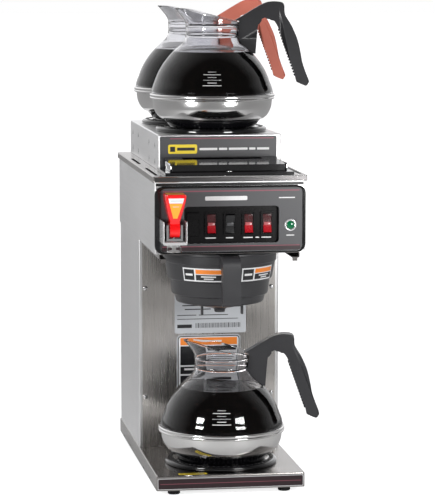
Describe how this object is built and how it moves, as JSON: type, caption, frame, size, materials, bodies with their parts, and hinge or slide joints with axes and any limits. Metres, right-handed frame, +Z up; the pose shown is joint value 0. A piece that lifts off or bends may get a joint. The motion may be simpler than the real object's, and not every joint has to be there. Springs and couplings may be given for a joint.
{
  "type": "commercial coffee brewer",
  "caption": "Tall narrow coffee brewer with a warmer in its base, two warmers on top, a pull-out funnel, a hot-water faucet and rocker switches, with round decanters.",
  "frame": {"origin": "under the middle of the whole brewer with its decanters, on the surface that it stands on", "axes": "+Z up, +Y to the back, +X to the right as seen from the front, where the switches are"},
  "size_m": [0.2618, 0.5246, 0.7235],
  "materials": {
    "rubber": "matt moulded rubber",
    "brushed_steel": "brushed stainless sheet",
    "chrome": "bright chrome plate",
    "polished_steel": "polished stainless steel",
    "black_plastic": "satin black moulding",
    "overlay": "dark grey film overlay with thin maroon lines",
    "trim_strip": "dark strip with a thin maroon line",
    "red_plastic": "glossy red moulding",
    "green_lens": "green lens in a bright ring",
    "charcoal_plastic": "fine-textured charcoal moulding",
    "orange_plastic": "satin orange-red moulding",
    "clear_plastic": "clear smoky moulded plastic",
    "silicone": "translucent silicone tube",
    "black_enamel": "gloss black enamel on steel",
    "element_sheath": "mica and foil heating element",
    "copper": "plain copper sheath",
    "brass": "machined brass",
    "circuit_board": "green laminate with parts"
  },
  "bodies": {
    "cabinet": {"base_bottom_cover": "brushed_steel", "base_front_trim": "trim_strip", "base_pan": "brushed_steel", "blank_plug": "black_plastic", "control_board": "circuit_board", "control_panel": "overlay", "cord_gland": "rubber", "faucet_body": "chrome", "faucet_nozzle": "chrome", "faucet_pivot_pin": "chrome", "faucet_shroud": "chrome", "front_bezel": "black_plastic", "funnel_rails": "brushed_steel", "head_base_plate": "brushed_steel", "head_housing": "brushed_steel", "inlet_fitting": "brass", "inlet_solenoid_valve": "brass", "pour_in_tray": "black_plastic", "ready_light": "green_lens", "rubber_foot_back_left": "rubber", "rubber_foot_back_right": "rubber", "rubber_foot_front_left": "rubber", "rubber_foot_front_right": "rubber", "spray_head": "chrome", "spray_tube": "silicone", "switch_bank": "black_plastic", "tank": "polished_steel", "tank_heater": "copper", "tank_lid": "polished_steel", "tank_thermostat": "black_plastic", "top_lid": "brushed_steel", "trunk_front_panel": "brushed_steel", "trunk_housing": "brushed_steel", "upper_front_panel": "overlay", "upper_warmer_box": "brushed_steel", "warmer_element_lower": "element_sheath", "warmer_elements_upper": "element_sheath", "warmer_plate_lower": "black_enamel", "warmer_plate_upper_front": "black_enamel", "warmer_plate_upper_rear": "black_enamel", "warmer_ring_lower": "black_enamel", "warmer_ring_upper_front": "black_enamel", "warmer_ring_upper_rear": "black_enamel"},
    "funnel": {"funnel_bowl": "charcoal_plastic", "funnel_handle": "charcoal_plastic"},
    "faucet_lever": {"faucet_lever": "red_plastic"},
    "faucet_stem": {"faucet_stem": "brass"},
    "lower_warmer_rocker": {"lower_warmer_rocker": "red_plastic"},
    "start_rocker": {"start_rocker": "black_plastic"},
    "front_warmer_rocker": {"front_warmer_rocker": "red_plastic"},
    "rear_warmer_rocker": {"rear_warmer_rocker": "red_plastic"},
    "lower_decanter": {"lower_decanter_bowl": "polished_steel", "lower_decanter_top": "clear_plastic", "lower_decanter_handle": "charcoal_plastic"},
    "upper_front_decanter": {"upper_front_decanter_bowl": "polished_steel", "upper_front_decanter_top": "clear_plastic", "upper_front_decanter_handle": "charcoal_plastic"},
    "upper_rear_decanter": {"upper_rear_decanter_bowl": "polished_steel", "upper_rear_decanter_top": "clear_plastic", "upper_rear_decanter_handle": "orange_plastic"}
  },
  "joints": [
    {"name": "lower_warmer_switch", "type": "hinge", "parent": "cabinet", "child": "lower_warmer_rocker", "pos_m": [-0.04382, -0.20229, 0.4012], "axis": [1, 0, 0], "range_deg": [0, 16]},
    {"name": "start_switch", "type": "hinge", "parent": "cabinet", "child": "start_rocker", "pos_m": [-0.01592, -0.20229, 0.4012], "axis": [1, 0, 0], "range_deg": [-16, 0], "stiffness_Nm_per_rad": 0.05, "springref_deg": 2.86},
    {"name": "front_warmer_switch", "type": "hinge", "parent": "cabinet", "child": "front_warmer_rocker", "pos_m": [0.01158, -0.20229, 0.4012], "axis": [1, 0, 0], "range_deg": [0, 16]},
    {"name": "rear_warmer_switch", "type": "hinge", "parent": "cabinet", "child": "rear_warmer_rocker", "pos_m": [0.03928, -0.20229, 0.4012], "axis": [1, 0, 0], "range_deg": [0, 16]},
    {"name": "faucet_lever_pull", "type": "hinge", "parent": "cabinet", "child": "faucet_lever", "pos_m": [-0.10392, -0.23829, 0.398], "axis": [1, 0, 0], "range_deg": [0, 25], "stiffness_Nm_per_rad": 0.3, "springref_deg": -5.73},
    {"name": "faucet_stem_slide", "type": "slide", "parent": "cabinet", "child": "faucet_stem", "axis": [0, 0, 1], "range_m": [-0.0012, 0]},
    {"name": "funnel_slide", "type": "slide", "parent": "cabinet", "child": "funnel", "axis": [0, -1, 0], "range_m": [0, 0.2]},
    {"name": "lower_decanter_slide", "type": "slide", "parent": "cabinet", "child": "lower_decanter", "axis": [0, -0.9976, 0.0698], "range_m": [0, 0.25]},
    {"name": "upper_front_decanter_lift", "type": "slide", "parent": "cabinet", "child": "upper_front_decanter", "axis": [0, 0, 1], "range_m": [0, 0.15]},
    {"name": "upper_rear_decanter_lift", "type": "slide", "parent": "cabinet", "child": "upper_rear_decanter", "axis": [0, 0, 1], "range_m": [0, 0.15]}
  ],
  "couplings": [
    {"joint": "faucet_stem_slide", "follows": "faucet_lever_pull", "m_per_rad": -0.00275}
  ]
}
